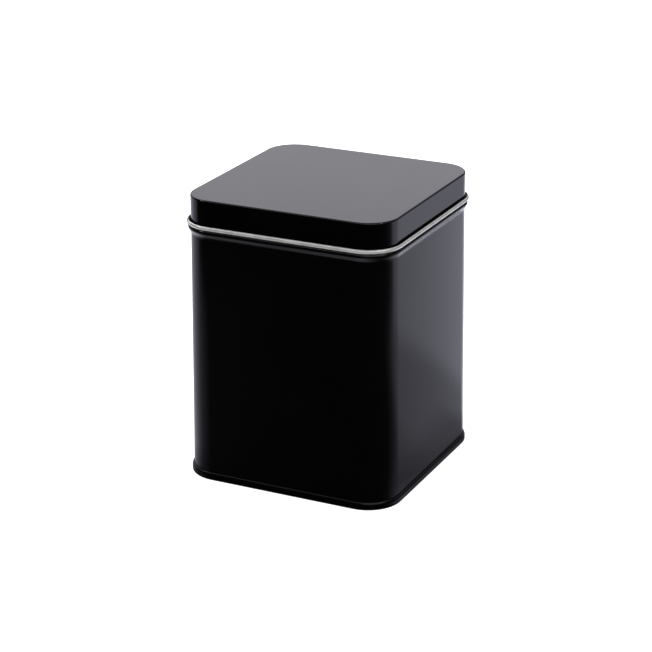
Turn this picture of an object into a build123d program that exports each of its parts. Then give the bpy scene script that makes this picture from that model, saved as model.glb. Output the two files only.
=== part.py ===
from build123d import *
import os
from math import acos, atan2, cos, hypot, radians, sin, tan

# Slip-lid storage tin, in millimetres, +Z up, floor at z = 0 and the front face towards -Y.
# Every piece is one pressed or rolled sheet, so each is drawn as a bent strip in section and
# carried round the same rounded square. An offset is measured outwards from the wall's outer
# face just under the stop bead, where the tin is narrowest, and a middle is the line halfway
# through the sheet.

# Whole tin
BODY_WIDTH = 75.5
OVERALL_HEIGHT = 100.8
CORNER_RADIUS = 10.7
SHEET = 0.23

# Wall, which flares a little towards its foot and stands straight in the seam
WALL_FLARE = 0.9
STRAIGHT_FOOT = 4.6
FOOT_BEND = 60.0

# Double seam that joins base and wall
SEAM_HEIGHT = 2.8
SEAM_GAP = 0.03
SEAM_INNER_BEND = 0.15
SEAM_FOOT_BEND = 0.33
SEAM_LEAN = 30.0
SEAM_SHOULDER_BEND = 1.75
SEAM_FOLD_BEND = 0.15
HOOK_END_CLEARANCE = 0.15

# Base panel
PANEL_HEIGHT = 4.1
RING_HEIGHT = 3.3
RING_WIDTH = 6.0
RING_STEP_RUN = 1.2
STEP_BEND = 0.9
CHUCK_BEND = 0.6
PANEL_START = 2.5

# Lid
LID_DEPTH = 10.15
LID_PROUD = 0.02
LID_EDGE_RADIUS = 0.6
CURL_HEIGHT = 1.4
CURL_REACH = 1.38
CURL_WRAP = 78.0
LID_PLATE_START = 4.0

# Neck, stop bead and hem of the wall
LID_CLEARANCE = 0.12
LID_REST_GAP = 0.02
NECK_TOP_DROP = 1.7
HEM_DIAMETER = 1.2
HEM_LEG = 0.5
NECK_FOOT_BEND = 0.3
BEAD_PROUD = 1.02
BEAD_NOSE_BEND = 0.7
BEAD_SLOPE = 24.0
BEAD_FOOT_BEND = 2.4

# Lock seam up the back of the wall
LOCK_WIDTH = 3.5
LOCK_BOTTOM = 6.0
LOCK_TOP_DROP = 16.0
LOCK_WINDOW = 5.0
LOCK_JOGGLE_BEND = 0.2

# Degrees between the creases of a bend, and of one tighter than the tight radius
CREASE_TURN = 30.0
TIGHT_BEND = 0.6
TIGHT_CREASE_TURN = 45.0

# Values that follow from the sizes above
HALF = SHEET / 2
SIDE = BODY_WIDTH / 2
CORNER_CENTRE = SIDE - CORNER_RADIUS
PITCH = SHEET + SEAM_GAP
WALL_MIDDLE = -HALF
FOOT_MIDDLE = WALL_MIDDLE + WALL_FLARE
LID_MIDDLE = LID_PROUD - HALF
NECK_MIDDLE = LID_PROUD - SHEET - LID_CLEARANCE - HALF
CURL_BOTTOM = OVERALL_HEIGHT - LID_DEPTH
SHOULDER_MIDDLE = CURL_BOTTOM - LID_REST_GAP - HALF
NECK_TOP = OVERALL_HEIGHT - NECK_TOP_DROP
LOCK_TOP = OVERALL_HEIGHT - LOCK_TOP_DROP
BEAD_TURN = radians(90 + BEAD_SLOPE)
BEAD_NOSE = BEAD_PROUD - HALF - BEAD_NOSE_BEND + BEAD_NOSE_BEND * tan(BEAD_TURN / 2)
BEAD_FOOT = SHOULDER_MIDDLE - (BEAD_NOSE - WALL_MIDDLE) / tan(radians(BEAD_SLOPE))
FLARE_LEAN = atan2(WALL_FLARE, BEAD_FOOT - STRAIGHT_FOOT)
FOLD_TOP = SEAM_HEIGHT - HALF
FOLD_EDGE = FOOT_MIDDLE + PITCH + SEAM_FOLD_BEND * (1 + tan(radians(90 - SEAM_LEAN) / 2))
SEAMING_CORNER = FOLD_TOP - (FOOT_MIDDLE + 3 * PITCH - FOLD_EDGE) / tan(radians(SEAM_LEAN))
BODY_HOOK_TOP = SEAMING_CORNER - SEAM_SHOULDER_BEND * tan(radians(SEAM_LEAN) / 2)


def unit(start, end):
    """Direction from start to end."""
    length = hypot(end[0] - start[0], end[1] - start[1])
    return ((end[0] - start[0]) / length, (end[1] - start[1]) / length)


def shifted(point, direction, distance):
    """The point moved a distance along a direction."""
    return (point[0] + direction[0] * distance, point[1] + direction[1] * distance)


def creased_path(stations):
    """Points of a path through stations (first, second, bend radius), each bend made of small creases."""
    points = [stations[0][:2]]
    for before, corner, after in zip(stations, stations[1:], stations[2:]):
        arriving = unit(before, corner)
        leaving = unit(corner, after)
        turn = acos(arriving[0] * leaving[0] + arriving[1] * leaving[1])
        side = 1 if arriving[0] * leaving[1] - arriving[1] * leaving[0] > 0 else -1
        entry = shifted(corner, arriving, -corner[2] * tan(turn / 2))
        centre = shifted(entry, (-arriving[1] * side, arriving[0] * side), corner[2])
        start = atan2(entry[1] - centre[1], entry[0] - centre[0])
        step = TIGHT_CREASE_TURN if corner[2] < TIGHT_BEND else CREASE_TURN
        creases = max(1, round(turn / radians(step)))
        reach = corner[2] / cos(turn / creases / 2)
        for crease in range(creases):
            angle = start + side * turn * (crease + 0.5) / creases
            points.append(shifted(centre, (cos(angle), sin(angle)), reach))
    points.append(stations[-1][:2])
    return points


def beside(points, distance):
    """Points that run parallel to a path at a distance to its left."""
    normals = [(-along[1], along[0]) for along in map(unit, points, points[1:])]
    shifts = [normals[0]]
    for first, second in zip(normals, normals[1:]):
        share = 1 + first[0] * second[0] + first[1] * second[1]
        shifts.append(((first[0] + second[0]) / share, (first[1] + second[1]) / share))
    shifts.append(normals[-1])
    return [shifted(point, shift, distance) for point, shift in zip(points, shifts)]


def strip_face(stations, place):
    """Section of a sheet bent along the stations, set in space by place."""
    path = creased_path(stations)
    outline = beside(path, HALF) + beside(path, -HALF)[::-1]
    return make_face(Polyline(*map(place, outline), close=True))


def around_tin(stations):
    """Solid of a section carried round the rounded square."""
    face = strip_face(stations, lambda p: Vector(SIDE + p[0], -CORNER_CENTRE, p[1]))
    straight = extrude(face, amount=2 * CORNER_CENTRE, dir=(0, 1, 0))
    far_face = face.moved(Location((0, 2 * CORNER_CENTRE, 0)))
    turning = Axis((CORNER_CENTRE, CORNER_CENTRE, 0), (0, 0, 1))
    corner = revolve(far_face, turning, 90)
    solid = straight + corner
    for quarter in (90, 180, 270):
        solid += Rot(0, 0, quarter) * straight
        solid += Rot(0, 0, quarter) * corner
    return solid


def middle_plate(offset, height):
    """Flat plate inside an offset, with its middle at a height."""
    width = 2 * (SIDE + offset)
    outline = RectangleRounded(width, width, CORNER_RADIUS + offset)
    return extrude(Pos(0, 0, height - HALF) * outline, amount=SHEET)


def make_base_panel():
    """Pressed base: raised panel, ring, chuck wall, seaming wall and hook."""
    chuck = FOOT_MIDDLE - PITCH
    hook = FOOT_MIDDLE + PITCH
    seaming = FOOT_MIDDLE + 3 * PITCH
    hook_end = HALF + PITCH + HALF + HOOK_END_CLEARANCE
    panel_edge = chuck - RING_WIDTH - RING_STEP_RUN
    start = panel_edge - PANEL_START
    section = [
        (start, PANEL_HEIGHT, 0),
        (panel_edge, PANEL_HEIGHT, STEP_BEND),
        (panel_edge + RING_STEP_RUN, RING_HEIGHT, STEP_BEND),
        (chuck, RING_HEIGHT, CHUCK_BEND),
        (chuck, HALF, SEAM_INNER_BEND + PITCH),
        (seaming, HALF, SEAM_FOOT_BEND + PITCH),
        (seaming, SEAMING_CORNER, SEAM_SHOULDER_BEND),
        (FOLD_EDGE, FOLD_TOP, SEAM_FOLD_BEND),
        (hook, FOLD_TOP, SEAM_FOLD_BEND),
        (hook, hook_end, 0),
    ]
    return around_tin(section) + middle_plate(start, PANEL_HEIGHT)


def make_lid():
    """Drawn lid: flat top, skirt and open outward curl."""
    edge_bend = LID_EDGE_RADIUS - HALF
    curl_bend = CURL_HEIGHT / 2 - HALF
    lip = LID_MIDDLE + CURL_REACH
    curl_centre = (lip - curl_bend, CURL_BOTTOM + CURL_HEIGHT / 2)
    wrap = radians(CURL_WRAP)
    tip = (curl_centre[0] + curl_bend * cos(wrap), curl_centre[1] + curl_bend * sin(wrap))
    start = LID_MIDDLE - LID_PLATE_START
    top = OVERALL_HEIGHT - HALF
    section = [
        (start, top, 0),
        (LID_MIDDLE, top, edge_bend),
        (LID_MIDDLE, CURL_BOTTOM + HALF, curl_bend),
        (lip, CURL_BOTTOM + HALF, curl_bend),
        (lip, curl_centre[1] + curl_bend * tan(wrap / 2), curl_bend),
        (tip[0], tip[1], 0),
    ]
    return around_tin(section) + middle_plate(start, top)


def lock_plane():
    """Plane across the foot of the lock seam, on the middle of the leaning back wall."""
    middle = WALL_MIDDLE + (BEAD_FOOT - LOCK_BOTTOM) * tan(FLARE_LEAN)
    up_the_wall = (0, -sin(FLARE_LEAN), cos(FLARE_LEAN))
    return Plane(origin=(0, SIDE + middle, LOCK_BOTTOM), x_dir=(1, 0, 0), z_dir=up_the_wall)


def lock_strips(plane, length):
    """The two hooked edges of the wall sheet, lying one inside the other."""
    layer = [index * PITCH for index in range(4)]
    fold = LOCK_WIDTH / 2 - PITCH - HALF
    joggle = fold + 2 * PITCH
    end = fold - HOOK_END_CLEARANCE
    outer_edge = [
        (-LOCK_WINDOW, layer[0], 0),
        (fold + PITCH, layer[0], PITCH),
        (fold + PITCH, layer[2], PITCH),
        (-end, layer[2], 0),
    ]
    inner_edge = [
        (LOCK_WINDOW, layer[0], 0),
        (joggle, layer[0], LOCK_JOGGLE_BEND),
        (joggle, layer[3], LOCK_JOGGLE_BEND),
        (-fold - PITCH, layer[3], PITCH),
        (-fold - PITCH, layer[1], PITCH),
        (end, layer[1], 0),
    ]
    strips = []
    for stations in (outer_edge, inner_edge):
        face = strip_face(stations, lambda p: plane.from_local_coords(Vector(p[0], -p[1], 0)))
        strips.append(extrude(face, amount=length, dir=plane.z_dir))
    return strips


def make_body_wall():
    """Rolled wall: hem, neck, stop bead, wall, base hook and lock seam."""
    hem_bend = HEM_DIAMETER / 2 - HALF
    hem = NECK_MIDDLE - 2 * hem_bend
    hem_top = NECK_TOP - HALF
    hook = FOOT_MIDDLE + 2 * PITCH
    section = [
        (hem, hem_top - hem_bend - HEM_LEG, 0),
        (hem, hem_top, hem_bend),
        (NECK_MIDDLE, hem_top, hem_bend),
        (NECK_MIDDLE, SHOULDER_MIDDLE, NECK_FOOT_BEND),
        (BEAD_NOSE, SHOULDER_MIDDLE, BEAD_NOSE_BEND),
        (WALL_MIDDLE, BEAD_FOOT, BEAD_FOOT_BEND),
        (FOOT_MIDDLE, STRAIGHT_FOOT, FOOT_BEND),
        (FOOT_MIDDLE, HALF + PITCH, SEAM_INNER_BEND),
        (hook, HALF + PITCH, SEAM_FOOT_BEND),
        (hook, BODY_HOOK_TOP, 0),
    ]
    plane = lock_plane()
    length = (LOCK_TOP - LOCK_BOTTOM) / cos(FLARE_LEAN)
    window = plane * Pos(0, 0, length / 2) * Box(2 * LOCK_WINDOW, 4 * SHEET, length)
    wall = around_tin(section) - window
    for strip in lock_strips(plane, length):
        wall += strip
    return wall


PIECES = {
    "body_wall": make_body_wall,
    "base_panel": make_base_panel,
    "lid": make_lid,
}

os.makedirs("parts", exist_ok=True)
for name, make in PIECES.items():
    piece = make().clean()
    export_step(piece.solid(), f"parts/{name}.step")
    box = piece.bounding_box()
    print(name, "solids", len(piece.solids()), "volume", round(piece.volume, 2), box.min, box.max)
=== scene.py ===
from math import acos, atan2, cos, hypot, pi, radians, sin, tan

import bpy
from mathutils import Matrix, Vector


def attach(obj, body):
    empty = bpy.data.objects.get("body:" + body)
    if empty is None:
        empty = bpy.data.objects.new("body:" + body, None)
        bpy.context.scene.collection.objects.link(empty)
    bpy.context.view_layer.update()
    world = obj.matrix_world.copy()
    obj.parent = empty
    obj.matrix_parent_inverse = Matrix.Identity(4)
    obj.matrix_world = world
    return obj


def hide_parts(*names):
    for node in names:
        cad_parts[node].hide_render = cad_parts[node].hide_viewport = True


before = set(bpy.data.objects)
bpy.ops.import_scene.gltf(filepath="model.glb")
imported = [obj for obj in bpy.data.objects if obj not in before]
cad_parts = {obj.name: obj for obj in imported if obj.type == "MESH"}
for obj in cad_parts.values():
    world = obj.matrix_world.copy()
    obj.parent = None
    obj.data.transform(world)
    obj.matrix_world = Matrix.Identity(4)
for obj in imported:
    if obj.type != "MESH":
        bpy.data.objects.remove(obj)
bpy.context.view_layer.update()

# Sheet sections, in millimetres. Offsets run outwards from the wall's outer face just under the
# stop bead, where the tin is narrowest.
MM = 0.001
BODY_WIDTH = 75.5
OVERALL_HEIGHT = 100.8
CORNER_RADIUS = 10.7
SHEET = 0.23
WALL_FLARE = 0.9
STRAIGHT_FOOT = 4.6
FOOT_BEND = 60.0
SEAM_HEIGHT = 2.8
SEAM_GAP = 0.03
SEAM_INNER_BEND = 0.15
SEAM_FOOT_BEND = 0.33
SEAM_LEAN = 30.0
SEAM_SHOULDER_BEND = 1.75
SEAM_FOLD_BEND = 0.15
HOOK_END_CLEARANCE = 0.15
PANEL_HEIGHT = 4.1
RING_HEIGHT = 3.3
RING_WIDTH = 6.0
RING_STEP_RUN = 1.2
STEP_BEND = 0.9
CHUCK_BEND = 0.6
PANEL_START = 2.5
LID_DEPTH = 10.15
LID_PROUD = 0.02
LID_EDGE_RADIUS = 0.6
CURL_HEIGHT = 1.4
CURL_REACH = 1.38
CURL_WRAP = 78.0
LID_PLATE_START = 4.0
LID_CLEARANCE = 0.12
LID_REST_GAP = 0.02
NECK_TOP_DROP = 1.7
HEM_DIAMETER = 1.2
HEM_LEG = 0.5
NECK_FOOT_BEND = 0.3
BEAD_PROUD = 1.02
BEAD_NOSE_BEND = 0.95
BEAD_SLOPE = 31.0
BEAD_FOOT_BEND = 2.8
LOCK_WIDTH = 3.5
LOCK_BOTTOM = 6.0
LOCK_TOP_DROP = 16.0
LOCK_WINDOW = 5.0
LOCK_JOGGLE_BEND = 0.2

HALF = SHEET / 2
SIDE = BODY_WIDTH / 2
CORNER_CENTRE = SIDE - CORNER_RADIUS
PITCH = SHEET + SEAM_GAP
WALL_MIDDLE = -HALF
FOOT_MIDDLE = WALL_MIDDLE + WALL_FLARE
LID_MIDDLE = LID_PROUD - HALF
NECK_MIDDLE = LID_PROUD - SHEET - LID_CLEARANCE - HALF
CURL_BOTTOM = OVERALL_HEIGHT - LID_DEPTH
SHOULDER_MIDDLE = CURL_BOTTOM - LID_REST_GAP - HALF
NECK_TOP = OVERALL_HEIGHT - NECK_TOP_DROP
LOCK_TOP = OVERALL_HEIGHT - LOCK_TOP_DROP
BEAD_TURN = radians(90 + BEAD_SLOPE)
BEAD_NOSE = BEAD_PROUD - HALF - BEAD_NOSE_BEND + BEAD_NOSE_BEND * tan(BEAD_TURN / 2)
BEAD_FOOT = SHOULDER_MIDDLE - (BEAD_NOSE - WALL_MIDDLE) / tan(radians(BEAD_SLOPE))
FLARE_LEAN = atan2(WALL_FLARE, BEAD_FOOT - STRAIGHT_FOOT)
FOLD_TOP = SEAM_HEIGHT - HALF
FOLD_EDGE = FOOT_MIDDLE + PITCH + SEAM_FOLD_BEND * (1 + tan(radians(90 - SEAM_LEAN) / 2))
SEAMING_CORNER = FOLD_TOP - (FOOT_MIDDLE + 3 * PITCH - FOLD_EDGE) / tan(radians(SEAM_LEAN))
BODY_HOOK_TOP = SEAMING_CORNER - SEAM_SHOULDER_BEND * tan(radians(SEAM_LEAN) / 2)

# How finely the bends and corners are drawn, with stops along a straight side and rings across a
# plate as shares of the way out from the middle
ARC_STEP = radians(9)
CORNER_STEPS = 28
STRAIGHT_STOPS = (-1.0, -0.62, -LOCK_WINDOW / CORNER_CENTRE, LOCK_WINDOW / CORNER_CENTRE, 0.62, 1.0)
PLATE_RINGS = (1.0, 0.82, 0.62, 0.42, 0.22, 0.08)
WALL_CROWN = radians(4)
SAME_PLACE = 1e-6
EDGE_SLACK = 0.01

# Material places: the face left of a sheet's path, the face right of it and the cut edge
LEFT_FACE, RIGHT_FACE, CUT_EDGE = 0, 1, 2


def unit(start, end):
    length = hypot(end[0] - start[0], end[1] - start[1])
    return ((end[0] - start[0]) / length, (end[1] - start[1]) / length)


def sheet_path(stations):
    """(point, left normal) samples along a path of stations (first, second, bend radius)."""
    samples = []
    for before, corner, after in zip(stations, stations[1:], stations[2:]):
        arriving = unit(before, corner)
        leaving = unit(corner, after)
        turn = acos(max(-1.0, min(1.0, arriving[0] * leaving[0] + arriving[1] * leaving[1])))
        side = 1 if arriving[0] * leaving[1] - arriving[1] * leaving[0] > 0 else -1
        reach = corner[2] * tan(turn / 2)
        entry = (corner[0] - arriving[0] * reach, corner[1] - arriving[1] * reach)
        centre = (entry[0] - arriving[1] * side * corner[2], entry[1] + arriving[0] * side * corner[2])
        start = atan2(entry[1] - centre[1], entry[0] - centre[0])
        steps = max(2, round(turn / ARC_STEP))
        if not samples:
            samples.append((stations[0][:2], (-arriving[1], arriving[0])))
        for step in range(steps + 1):
            angle = start + side * turn * step / steps
            outward = (cos(angle), sin(angle))
            point = (centre[0] + outward[0] * corner[2], centre[1] + outward[1] * corner[2])
            last = samples[-1][0]
            if hypot(point[0] - last[0], point[1] - last[1]) > SAME_PLACE:
                samples.append((point, (-outward[0] * side, -outward[1] * side)))
    end, last = stations[-1][:2], samples[-1][0]
    if hypot(end[0] - last[0], end[1] - last[1]) > SAME_PLACE:
        along = unit(stations[-2], stations[-1])
        samples.append((end, (-along[1], along[0])))
    return samples


def split_runs(samples, heights):
    """Adds samples where a path passes the given heights."""
    result = [samples[0]]
    for (start, normal), (end, next_normal) in zip(samples, samples[1:]):
        low, high = sorted((start[1], end[1]))
        passed = [height for height in heights if low + SAME_PLACE < height < high - SAME_PLACE]
        for height in sorted(passed, reverse=end[1] < start[1]):
            share = (height - start[1]) / (end[1] - start[1])
            result.append(((start[0] + (end[0] - start[0]) * share, height), normal))
        result.append((end, next_normal))
    return result


def plan_columns(crown):
    """(centre, outward direction, surface normal) once round the rounded square.

    A crown is how far, in radians, the normals at the ends of a side lean away from its middle.
    """
    columns = []
    for quarter in range(4):
        turn = quarter * pi / 2
        out = (cos(turn), sin(turn))
        along = (-out[1], out[0])
        for stop in STRAIGHT_STOPS[:-1]:
            centre = (CORNER_CENTRE * (out[0] + along[0] * stop),
                      CORNER_CENTRE * (out[1] + along[1] * stop))
            lean = turn + crown * stop
            columns.append((centre, out, (cos(lean), sin(lean))))
        centre = (CORNER_CENTRE * (out[0] + along[0]), CORNER_CENTRE * (out[1] + along[1]))
        for step in range(CORNER_STEPS):
            share = step / CORNER_STEPS
            angle = turn + share * pi / 2
            lean = turn + crown + share * (pi / 2 - 2 * crown)
            columns.append((centre, (cos(angle), sin(angle)), (cos(lean), sin(lean))))
    return columns


TRUE_COLUMNS = plan_columns(0.0)
CROWNED_COLUMNS = plan_columns(WALL_CROWN)


class Surface:
    """Faces gathered corner by corner as (position, normal), then welded into one mesh."""

    WELD_PER_MM = 1e5

    def __init__(self):
        self.faces = []

    def add(self, corners, material):
        self.faces.append((corners, material))

    def build(self, name, materials):
        index, points, polygons, normals, slots = {}, [], [], [], []
        for corners, material in self.faces:
            keys = []
            for position, normal in corners:
                key = tuple(round(value * self.WELD_PER_MM) for value in position)
                if key not in index:
                    index[key] = len(points)
                    points.append([value * MM for value in position])
                if index[key] not in keys:
                    keys.append(index[key])
                    normals.append(normal)
            if len(keys) < 3:
                del normals[len(normals) - len(keys):]
                continue
            polygons.append(keys)
            slots.append(material)
        mesh = bpy.data.meshes.new(name)
        mesh.from_pydata(points, [], polygons)
        for polygon, slot in zip(mesh.polygons, slots):
            polygon.material_index = slot
            polygon.use_smooth = True
        mesh.normals_split_custom_set([Vector(normal).normalized() for normal in normals])
        for material in materials:
            mesh.materials.append(material)
        piece = bpy.data.objects.new(name, mesh)
        bpy.context.scene.collection.objects.link(piece)
        return piece


def ring(point, normal, columns=TRUE_COLUMNS):
    """One closed loop of (position, normal) at an offset and height, with a section normal."""
    loop = []
    for centre, out, facing in columns:
        reach = CORNER_RADIUS + point[0]
        loop.append(((centre[0] + out[0] * reach, centre[1] + out[1] * reach, point[1]),
                     (facing[0] * normal[0], facing[1] * normal[0], normal[1])))
    return loop + loop[:1]


def faced(samples, side):
    """Samples moved to one face of the sheet: side 1 is left of the path, -1 right."""
    return [((point[0] + normal[0] * HALF * side, point[1] + normal[1] * HALF * side),
             (normal[0] * side, normal[1] * side)) for point, normal in samples]


def add_around(surface, samples, columns=TRUE_COLUMNS, skip=None):
    """Both faces of a sheet carried round the tin."""
    for side, material in ((1, LEFT_FACE), (-1, RIGHT_FACE)):
        rows = [ring(point, normal, columns) for point, normal in faced(samples, side)]
        for above, below in zip(rows, rows[1:]):
            for index in range(len(columns)):
                corners = [above[index], below[index], below[index + 1], above[index + 1]]
                if skip and skip(corners):
                    continue
                surface.add(corners if side > 0 else corners[::-1], material)


def add_edge(surface, sample, facing):
    """A cut edge carried round the tin at one end of a path."""
    left, right = (faced([sample], side)[0][0] for side in (1, -1))
    first, second = ring(left, facing), ring(right, facing)
    for index in range(len(TRUE_COLUMNS)):
        surface.add([first[index], second[index], second[index + 1], first[index + 1]], CUT_EDGE)


def add_plate(surface, sample):
    """Flat middle of a panel, closed in from the start of its section."""
    for side, material in ((1, LEFT_FACE), (-1, RIGHT_FACE)):
        point, normal = faced([sample], side)[0]
        rows = []
        for share in PLATE_RINGS:
            scaled = [((position[0] * share, position[1] * share, position[2]), direction)
                      for position, direction in ring(point, normal)]
            rows.append(scaled)
        middle = ((0, 0, point[1]), (0, 0, normal[1]))
        for outer, inner in zip(rows, rows[1:]):
            for index in range(len(TRUE_COLUMNS)):
                corners = [outer[index], outer[index + 1], inner[index + 1], inner[index]]
                surface.add(corners if side > 0 else corners[::-1], material)
        for index in range(len(TRUE_COLUMNS)):
            corners = [rows[-1][index], rows[-1][index + 1], middle]
            surface.add(corners if side > 0 else corners[::-1], material)


def make_lid(materials):
    edge_bend = LID_EDGE_RADIUS - HALF
    curl_bend = CURL_HEIGHT / 2 - HALF
    lip = LID_MIDDLE + CURL_REACH
    centre = (lip - curl_bend, CURL_BOTTOM + CURL_HEIGHT / 2)
    wrap = radians(CURL_WRAP)
    tip = (centre[0] + curl_bend * cos(wrap), centre[1] + curl_bend * sin(wrap))
    top = OVERALL_HEIGHT - HALF
    samples = sheet_path([
        (LID_MIDDLE - LID_PLATE_START, top, 0),
        (LID_MIDDLE, top, edge_bend),
        (LID_MIDDLE, CURL_BOTTOM + HALF, curl_bend),
        (lip, CURL_BOTTOM + HALF, curl_bend),
        (lip, centre[1] + curl_bend * tan(wrap / 2), curl_bend),
        (*tip, 0),
    ])
    surface = Surface()
    add_around(surface, samples)
    add_plate(surface, samples[0])
    add_edge(surface, samples[-1], (-sin(wrap), cos(wrap)))
    return surface.build("lid_sheet", materials)


def make_base(materials):
    chuck = FOOT_MIDDLE - PITCH
    hook = FOOT_MIDDLE + PITCH
    seaming = FOOT_MIDDLE + 3 * PITCH
    panel_edge = chuck - RING_WIDTH - RING_STEP_RUN
    samples = sheet_path([
        (panel_edge - PANEL_START, PANEL_HEIGHT, 0),
        (panel_edge, PANEL_HEIGHT, STEP_BEND),
        (panel_edge + RING_STEP_RUN, RING_HEIGHT, STEP_BEND),
        (chuck, RING_HEIGHT, CHUCK_BEND),
        (chuck, HALF, SEAM_INNER_BEND + PITCH),
        (seaming, HALF, SEAM_FOOT_BEND + PITCH),
        (seaming, SEAMING_CORNER, SEAM_SHOULDER_BEND),
        (FOLD_EDGE, FOLD_TOP, SEAM_FOLD_BEND),
        (hook, FOLD_TOP, SEAM_FOLD_BEND),
        (hook, SHEET + PITCH + HOOK_END_CLEARANCE, 0),
    ])
    surface = Surface()
    add_around(surface, samples)
    add_plate(surface, samples[0])
    add_edge(surface, samples[-1], (0, -1))
    return surface.build("base_sheet", materials)


def add_strip(surface, stations):
    """A hooked edge of the lock seam, drawn in plan and carried up the leaning back wall."""
    samples = sheet_path(stations)
    lean = (cos(FLARE_LEAN), sin(FLARE_LEAN))
    for side, material in ((1, LEFT_FACE), (-1, RIGHT_FACE)):
        rows = []
        for height in (LOCK_TOP, LOCK_BOTTOM):
            middle = SIDE + WALL_MIDDLE + (BEAD_FOOT - height) * tan(FLARE_LEAN)
            rows.append([((point[0], middle - point[1] * lean[0], height - point[1] * lean[1]),
                          (normal[0], -normal[1] * lean[0], -normal[1] * lean[1]))
                         for point, normal in faced(samples, side)])
        for index in range(len(samples) - 1):
            corners = [rows[0][index], rows[1][index], rows[1][index + 1], rows[0][index + 1]]
            surface.add(corners if side > 0 else corners[::-1], material)


def make_wall(materials):
    hem_bend = HEM_DIAMETER / 2 - HALF
    hem = NECK_MIDDLE - 2 * hem_bend
    hem_top = NECK_TOP - HALF
    hook = FOOT_MIDDLE + 2 * PITCH
    samples = sheet_path([
        (hem, hem_top - hem_bend - HEM_LEG, 0),
        (hem, hem_top, hem_bend),
        (NECK_MIDDLE, hem_top, hem_bend),
        (NECK_MIDDLE, SHOULDER_MIDDLE, NECK_FOOT_BEND),
        (BEAD_NOSE, SHOULDER_MIDDLE, BEAD_NOSE_BEND),
        (WALL_MIDDLE, BEAD_FOOT, BEAD_FOOT_BEND),
        (FOOT_MIDDLE, STRAIGHT_FOOT, FOOT_BEND),
        (FOOT_MIDDLE, HALF + PITCH, SEAM_INNER_BEND),
        (hook, HALF + PITCH, SEAM_FOOT_BEND),
        (hook, BODY_HOOK_TOP, 0),
    ])
    samples = split_runs(samples, (LOCK_BOTTOM, LOCK_TOP))

    def in_lock_window(corners):
        positions = [position for position, _ in corners]
        return (all(abs(x) < LOCK_WINDOW + EDGE_SLACK and y > 0 for x, y, _ in positions)
                and all(LOCK_BOTTOM - EDGE_SLACK < z < LOCK_TOP + EDGE_SLACK for _, _, z in positions))

    surface = Surface()
    add_around(surface, samples, CROWNED_COLUMNS, in_lock_window)
    add_edge(surface, samples[0], (0, -1))
    add_edge(surface, samples[-1], (0, 1))
    layer = [index * PITCH for index in range(4)]
    fold = LOCK_WIDTH / 2 - PITCH - HALF
    joggle = fold + 2 * PITCH
    end = fold - HOOK_END_CLEARANCE
    add_strip(surface, [
        (-end, layer[2], 0),
        (fold + PITCH, layer[2], PITCH),
        (fold + PITCH, layer[0], PITCH),
        (-LOCK_WINDOW, layer[0], 0),
    ])
    add_strip(surface, [
        (LOCK_WINDOW, layer[0], 0),
        (joggle, layer[0], LOCK_JOGGLE_BEND),
        (joggle, layer[3], LOCK_JOGGLE_BEND),
        (-fold - PITCH, layer[3], PITCH),
        (-fold - PITCH, layer[1], PITCH),
        (end, layer[1], 0),
    ])
    return surface.build("wall_sheet", materials)


# Materials. Scales are in cells or waves per metre, and pairs are (low, high).
BLACK = (0.0004, 0.0004, 0.0005)
LACQUER_IOR = 1.5
SMUDGE_SCALE = 46.0
DUST_SCALE = 260.0
DUST_SHARE = 0.03
DUST_SPECK = (0.02, 0.05)
DUST_GREY = (0.12, 0.12, 0.12)
NOISE_MIDDLE = (0.3, 0.7)
ROLLING_STRETCH = (6.0, 6.0, 90.0)
ROLLING_SCALE = 60.0
ROLLING_DEPTH = 0.0006
SPANGLE_SHADE = 0.78


class Nodes:
    """A node tree that is filled one node at a time."""

    def __init__(self, tree):
        self.tree = tree

    def add(self, kind, inputs=(), **settings):
        node = self.tree.nodes.new(kind)
        for key, value in settings.items():
            setattr(node, key, value)
        for key, value in dict(inputs).items():
            if isinstance(value, bpy.types.NodeSocket):
                self.tree.links.new(value, node.inputs[key])
            else:
                node.inputs[key].default_value = value
        return node

    def noise(self, where, scale, detail=2.0, roughness=0.5):
        return self.add("ShaderNodeTexNoise", {"Vector": where, "Scale": scale, "Detail": detail,
                                               "Roughness": roughness}).outputs["Fac"]

    def spread(self, value, low, high, new_low=0.0, new_high=1.0):
        return self.add("ShaderNodeMapRange", {"Value": value, "From Min": low, "From Max": high,
                                               "To Min": new_low, "To Max": new_high}).outputs["Result"]

    def math(self, operation, first, second=0.0):
        return self.add("ShaderNodeMath", {0: first, 1: second}, operation=operation).outputs[0]

    def vector(self, operation, inputs, output="Vector"):
        return self.add("ShaderNodeVectorMath", inputs, operation=operation).outputs[output]

    def blend(self, share, first, second):
        """Colour from the first to the second, each three numbers or another node's output."""
        ends = [(*value, 1.0) if isinstance(value, tuple) else value for value in (first, second)]
        return self.add("ShaderNodeMix", {"Factor": share, 6: ends[0], 7: ends[1]},
                        data_type="RGBA").outputs[2]

    def ramp(self, value, stops):
        node = self.add("ShaderNodeValToRGB", {"Fac": value})
        band = node.color_ramp
        for index, (place, level) in enumerate(stops):
            element = band.elements[index] if index < 2 else band.elements.new(place)
            element.position = place
            element.color = (level, level, level, 1.0)
        return node.outputs["Color"]


def new_material(name):
    material = bpy.data.materials.new(name)
    material.use_nodes = True
    material.node_tree.nodes.clear()
    nodes = Nodes(material.node_tree)
    return material, nodes


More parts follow.
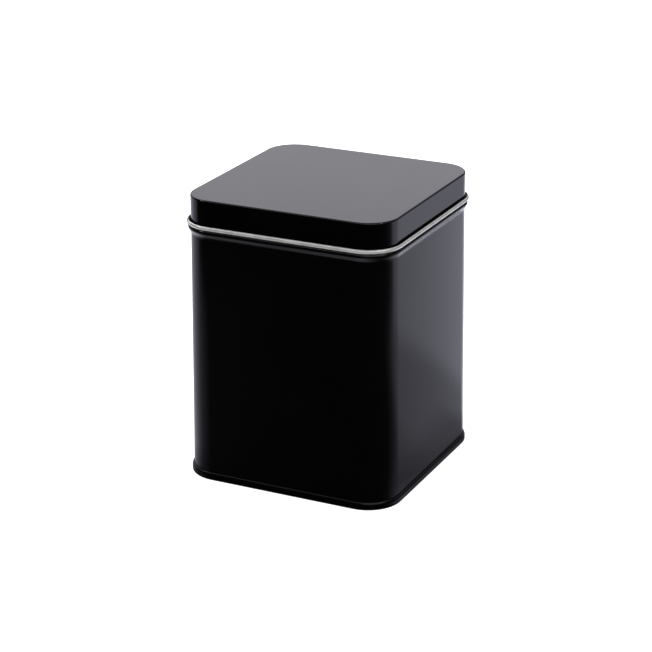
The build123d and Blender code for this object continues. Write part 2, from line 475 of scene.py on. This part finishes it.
def lacquer(name, sheen):
    """Black stoving lacquer: smudged gloss and a little settled dust."""
    material, nodes = new_material(name)
    where = nodes.add("ShaderNodeTexCoord").outputs["Object"]
    smudge = nodes.noise(where, SMUDGE_SCALE, detail=3.0)
    roughness = nodes.spread(smudge, *NOISE_MIDDLE, *sheen)
    cells = nodes.add("ShaderNodeTexVoronoi", {"Vector": where, "Scale": DUST_SCALE})
    speck = nodes.spread(cells.outputs["Distance"], *DUST_SPECK, 1.0, 0.0)
    draw = nodes.add("ShaderNodeSeparateColor", {"Color": cells.outputs["Color"]}).outputs["Red"]
    picked = nodes.math("GREATER_THAN", draw, 1.0 - DUST_SHARE)
    tint = nodes.blend(nodes.math("MULTIPLY", speck, picked), BLACK, DUST_GREY)
    shader = nodes.add("ShaderNodeBsdfPrincipled", {
        "Base Color": tint, "Roughness": roughness, "IOR": LACQUER_IOR})
    nodes.add("ShaderNodeOutputMaterial", {"Surface": shader.outputs["BSDF"]})
    return material


def tinplate(name, tone, sheen, metallic, spangle_scale):
    """Bare tinned steel: grey, half matt, with rolling lines and a soft spangle."""
    material, nodes = new_material(name)
    where = nodes.add("ShaderNodeTexCoord").outputs["Object"]
    stretched = nodes.add("ShaderNodeMapping", {"Vector": where, "Scale": ROLLING_STRETCH})
    lines = nodes.noise(stretched.outputs["Vector"], ROLLING_SCALE, detail=3.0)
    spangle = nodes.spread(nodes.noise(where, spangle_scale), *NOISE_MIDDLE)
    darker = tuple(value * SPANGLE_SHADE for value in tone)
    bump = nodes.add("ShaderNodeBump", {"Height": lines, "Strength": 1.0, "Distance": ROLLING_DEPTH * MM})
    shader = nodes.add("ShaderNodeBsdfPrincipled", {
        "Base Color": nodes.blend(spangle, darker, tone), "Metallic": metallic,
        "Roughness": nodes.spread(lines, *NOISE_MIDDLE, *sheen), "Normal": bump.outputs["Normal"]})
    nodes.add("ShaderNodeOutputMaterial", {"Surface": shader.outputs["BSDF"]})
    return material


bare_tin = tinplate("bare_tinplate", (0.73, 0.725, 0.705), (0.23, 0.28), 0.72, 260.0)
cut_steel = tinplate("cut_steel", (0.36, 0.36, 0.37), (0.4, 0.6), 0.6, 900.0)
wall_lacquer = lacquer("wall_lacquer", (0.18, 0.22))
base_lacquer = lacquer("base_lacquer", (0.18, 0.22))
lid_lacquer = lacquer("lid_lacquer", (0.1, 0.15))

PIECES = [
    ("body_wall", "can", "wall_lacquer", make_wall([wall_lacquer, bare_tin, cut_steel])),
    ("base_panel", "can", "base_lacquer", make_base([bare_tin, base_lacquer, cut_steel])),
    ("lid", "lid", "lid_lacquer", make_lid([lid_lacquer, bare_tin, cut_steel])),
]
for node, body, finish, piece in PIECES:
    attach(piece, body)
    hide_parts(node)


# Floor, in metres
FLOOR_REACH = 3.0
FLOOR_WHITE = (0.86, 0.86, 0.86, 1.0)
FLOOR_GLOW = 0.75
SHADE_REACH = 0.6
SHADE_DROP = 0.0005

# Painted shade, on a card that only the gloss sees: darker patches in the table's mirrored light,
# each as its middle, radius, softness and what is left of the light there, and a painted contact
# shadow close round the tin's foot as shares of CONTACT_REACH with what is left of the light, in
# metres
PAINTED_SHADE_PATCHES = (((0.110, 0.030, 0.0), 0.080, 0.007, 0.58), ((0.105, -0.035, 0.0), 0.060, 0.020, 0.34),
           ((0.310, 0.0, 0.0), 0.090, 0.020, 0.3), ((-0.290, -0.260, 0.0), 0.150, 0.015, 0.05))
TIN_REACH = 0.0386
CONTACT_REACH = 0.022
CONTACT_LIGHT = ((0.0, 0.15), (0.1, 0.45), (0.2, 0.58), (0.4, 0.62), (1.0, 1.0))


def card(name, reach, height, material):
    mesh = bpy.data.meshes.new(name)
    corners = [(x * reach, y * reach, height) for x, y in ((-1, -1), (1, -1), (1, 1), (-1, 1))]
    mesh.from_pydata(corners, [], [(0, 1, 2, 3)])
    mesh.materials.append(material)
    sheet = bpy.data.objects.new(name, mesh)
    bpy.context.scene.collection.objects.link(sheet)
    return sheet


def floor_material():
    """White table, lit from below as well as above, so that it shows almost no shadow."""
    material, nodes = new_material("studio_floor")
    paper = nodes.add("ShaderNodeBsdfDiffuse", {"Color": FLOOR_WHITE})
    glow = nodes.add("ShaderNodeEmission", {"Strength": FLOOR_GLOW})
    table = nodes.add("ShaderNodeAddShader", {0: paper.outputs["BSDF"], 1: glow.outputs["Emission"]})
    nodes.add("ShaderNodeOutputMaterial", {"Surface": table.outputs["Shader"]})
    return material


def shade_material():
    """Painted shade on a card seen only by glossy rays: what the tin and its surroundings take off the
    light that its sides mirror from the table.
    """
    material, nodes = new_material("floor_shade")
    where = nodes.add("ShaderNodeNewGeometry").outputs["Position"]
    parts = nodes.add("ShaderNodeSeparateXYZ", {"Vector": where})
    reach = nodes.math("MAXIMUM", nodes.math("ABSOLUTE", parts.outputs["X"]),
                       nodes.math("ABSOLUTE", parts.outputs["Y"]))
    left = nodes.ramp(nodes.spread(reach, TIN_REACH, TIN_REACH + CONTACT_REACH), CONTACT_LIGHT)
    for middle, radius, softness, light in PAINTED_SHADE_PATCHES:
        away = nodes.vector("DISTANCE", {0: where, 1: middle}, output="Value")
        patch = nodes.spread(away, radius - softness, radius + softness, light, 1.0)
        left = nodes.math("MULTIPLY", left, patch)
    shader = nodes.add("ShaderNodeBsdfTransparent", {"Color": left})
    nodes.add("ShaderNodeOutputMaterial", {"Surface": shader.outputs["BSDF"]})
    return material


def hide_from(piece, *rays):
    for ray in rays:
        setattr(piece, "visible_" + ray, False)


floor = card("studio_floor", FLOOR_REACH, 0.0, floor_material())
hide_from(floor, "glossy", "transmission")
shade = card("floor_shade", SHADE_REACH, -SHADE_DROP, shade_material())
hide_from(shade, "camera", "diffuse", "shadow", "transmission")

# What the gloss mirrors: the blueness of each light, its strengths round the tin (degrees from +Y
# towards +X) and its strengths with height (degrees above the horizon)
TABLE = (1.19,
         [(-180, 0.0), (-154, 0.0), (-140, 0.02), (-133, 0.07), (-109, 0.2), (-97, 0.36), (-85, 0.5),
          (-60, 0.75), (-30, 1.2), (-10, 1.4), (5, 0.95), (14, 0.67), (20, 0.63), (35, 0.63), (61, 0.66),
          (68, 0.46), (82, 0.18), (88, 0.08), (99, 0.03), (114, 0.01), (145, 0.0), (180, 0.0)],
         [(-90, 0.1), (-75, 0.2), (-60, 0.25), (-50, 0.4), (-33, 0.6), (-27, 1.0), (-20, 1.0), (-13, 1.1),
          (-8, 0.0), (90, 0.0)])
TABLE_NEAR = (1.1,
              [(-180, 1.0), (-130, 1.0), (-95, 0.5), (-60, 0.0), (60, 0.0), (90, 0.3), (115, 0.8),
               (180, 1.0)],
              [(-90, 0.6), (-75, 0.65), (-64, 0.5), (-56, 0.15), (-49, 0.0), (90, 0.0)])
TABLE_RIGHT = (1.0,
               [(-180, 0.0), (-110, 0.0), (-60, 0.9), (-20, 1.0), (40, 0.8), (80, 0.0), (180, 0.0)],
               [(-90, 0.0), (-75, 0.1), (-60, 0.5), (-50, 0.95), (-36, 0.95), (-27, 0.0), (90, 0.0)])
BACKDROP = (1.09,
            [(-180, 0.0), (-85, 0.0), (-70, 1.0), (-14, 1.0), (-5, 0.75), (4, 0.4), (12, 0.28), (40, 0.25),
             (60, 0.0), (95, 0.0), (115, 0.5), (165, 0.5), (178, 0.0), (180, 0.0)],
            [(-90, 0.0), (8, 0.0), (12, 1.0), (19, 1.02), (30, 1.25), (37, 1.3), (42, 0.3),
             (46, 0.0), (90, 0.0)])
OVERHEAD = (1.05,
            [(-180, 1.0), (-62, 1.0), (-45, 0.1), (10, 0.1), (60, 1.0), (180, 1.0)],
            [(-90, 0.0), (36, 0.0), (44, 1.3), (54, 0.6), (64, 0.4), (90, 0.5)])
LAYERS = (TABLE, TABLE_NEAR, TABLE_RIGHT, BACKDROP, OVERHEAD)
# Two small lamps: degrees round, degrees up, radius in degrees and strength
LAMPS = ((100, 48, 4.0, 10.0), (-118, 35, 4.0, 14.0))
LAMP_BLUE = 1.05
# Even light for everything but the gloss
ROOM_LIGHT = 1.25


def layer(nodes, around, upward, round_stops, up_stops):
    """Light that varies round the tin and with height."""
    round_level = nodes.ramp(around, [((degrees + 180) / 360, level) for degrees, level in round_stops])
    up_level = nodes.ramp(upward, [((degrees + 90) / 180, level) for degrees, level in up_stops])
    return nodes.math("MULTIPLY", round_level, up_level)


def lamp(nodes, direction, azimuth, height, radius, strength):
    """A small round lamp far away."""
    turn, rise = radians(azimuth), radians(height)
    towards = (sin(turn) * cos(rise), cos(turn) * cos(rise), sin(rise))
    nearness = nodes.vector("DOT_PRODUCT", {0: direction, 1: towards}, output="Value")
    inside = nodes.math("GREATER_THAN", nearness, cos(radians(radius)))
    return nodes.math("MULTIPLY", inside, strength)


def studio_world():
    world = bpy.data.worlds.new("studio")
    world.use_nodes = True
    world.node_tree.nodes.clear()
    nodes = Nodes(world.node_tree)
    direction = nodes.add("ShaderNodeTexCoord").outputs["Generated"]
    parts = nodes.add("ShaderNodeSeparateXYZ", {"Vector": direction})
    around = nodes.spread(nodes.math("ARCTAN2", parts.outputs["X"], parts.outputs["Y"]), -pi, pi)
    upward = nodes.spread(nodes.math("ARCSINE", parts.outputs["Z"]), -pi / 2, pi / 2)
    lights = [(blue, layer(nodes, around, upward, *stops)) for blue, *stops in LAYERS]
    lights += [(LAMP_BLUE, lamp(nodes, direction, *settings)) for settings in LAMPS]
    mirrored = (0.0, 0.0, 0.0)
    for blue, strength in lights:
        tinted = nodes.vector("SCALE", {0: (1.0, 1.0, blue), "Scale": strength})
        mirrored = nodes.vector("ADD", {0: mirrored, 1: tinted})
    glossy = nodes.add("ShaderNodeLightPath").outputs["Is Glossy Ray"]
    light = nodes.blend(glossy, (ROOM_LIGHT,) * 3, mirrored)
    background = nodes.add("ShaderNodeBackground", {"Color": light, "Strength": 1.0})
    nodes.add("ShaderNodeOutputWorld", {"Surface": background.outputs["Background"]})
    bpy.context.scene.world = world


studio_world()

# Camera: where the photograph was taken from, in degrees and millimetres
AZIMUTH = 25.944
ELEVATION = 20.630
ROLL = -0.211
DISTANCE = 766.11
AIM_RIGHT = -1.711
AIM_UP = 45.08
LENS = 118.58
SENSOR = 36.0


def add_camera():
    turn, tip, roll = radians(AZIMUTH), radians(ELEVATION), radians(ROLL)
    back = Vector((sin(turn) * cos(tip), -cos(turn) * cos(tip), sin(tip)))
    level = Vector((cos(turn), sin(turn), 0.0))
    up = back.cross(level)
    right = level * cos(roll) + up * sin(roll)
    up = up * cos(roll) - level * sin(roll)
    data = bpy.data.cameras.new("camera")
    data.sensor_width = SENSOR
    data.lens = LENS
    data.clip_start = 0.01
    camera = bpy.data.objects.new("camera", data)
    bpy.context.scene.collection.objects.link(camera)
    place = (right * AIM_RIGHT + up * AIM_UP + back * DISTANCE) * MM
    frame_of_view = Matrix((right, up, back)).transposed().to_4x4()
    camera.matrix_world = Matrix.Translation(place) @ frame_of_view
    bpy.context.scene.camera = camera


add_camera()
bpy.context.scene.view_settings.view_transform = "Standard"
